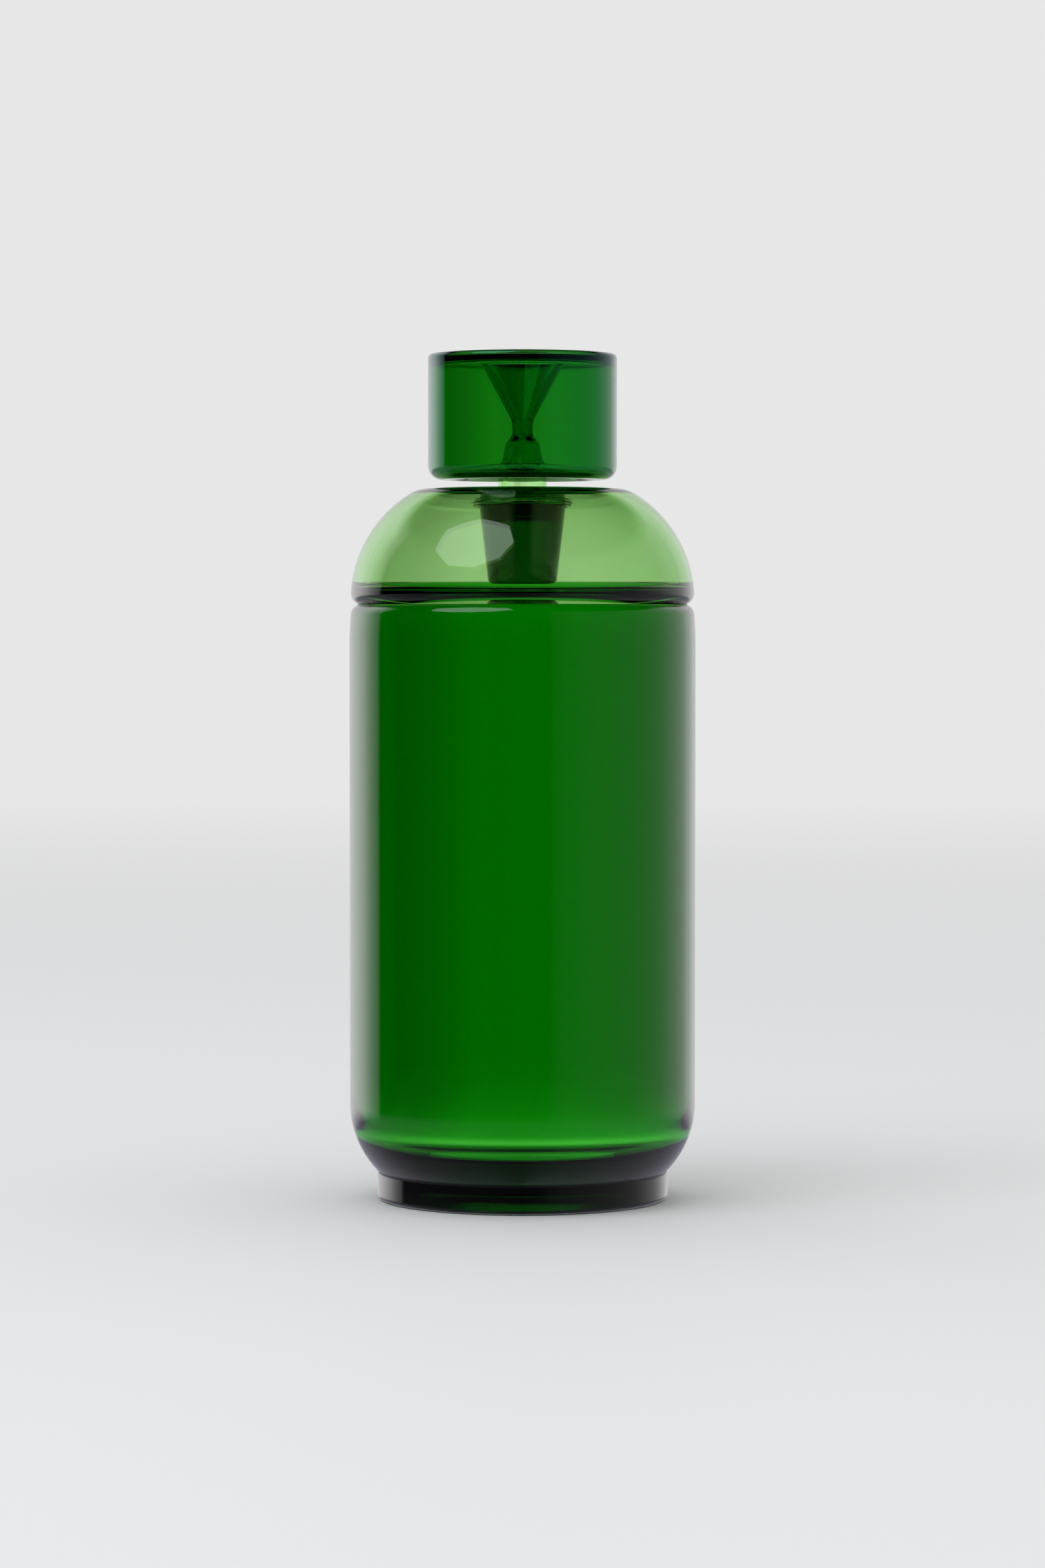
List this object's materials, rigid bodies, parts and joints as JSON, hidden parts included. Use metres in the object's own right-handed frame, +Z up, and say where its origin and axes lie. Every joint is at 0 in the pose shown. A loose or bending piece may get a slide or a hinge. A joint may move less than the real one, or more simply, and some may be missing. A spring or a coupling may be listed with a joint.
{
  "type": "glass oil bottle",
  "caption": "Upright round glass table bottle for oil with a stepped foot, a domed shoulder and a lift-out stopper whose hollow cap holds a pouring funnel above a tapered plug.",
  "frame": {"origin": "centre of the foot ring, on the plane that the bottle stands on", "axes": "+Z up along the bottle's axis, from the foot to the funnel's mouth; every piece is round about Z"},
  "size_m": [0.08, 0.08, 0.195],
  "materials": {
    "body_green": "clear, glossy, deep green",
    "light_green": "clear, glossy, light leaf green",
    "plug_green": "clear, glossy, very dark green",
    "cap_green": "clear, glossy, emerald green"
  },
  "bodies": {
    "bottle": {"body_glass": "body_green", "shoulder_dome": "light_green"},
    "stopper": {"stopper_plug": "plug_green", "stopper_stem": "light_green", "stopper_drum": "cap_green", "stopper_funnel": "cap_green"}
  },
  "joints": [
    {"name": "stopper_lift", "type": "slide", "parent": "bottle", "child": "stopper", "axis": [0, 0, 1], "range_m": [0, 0.032]}
  ]
}
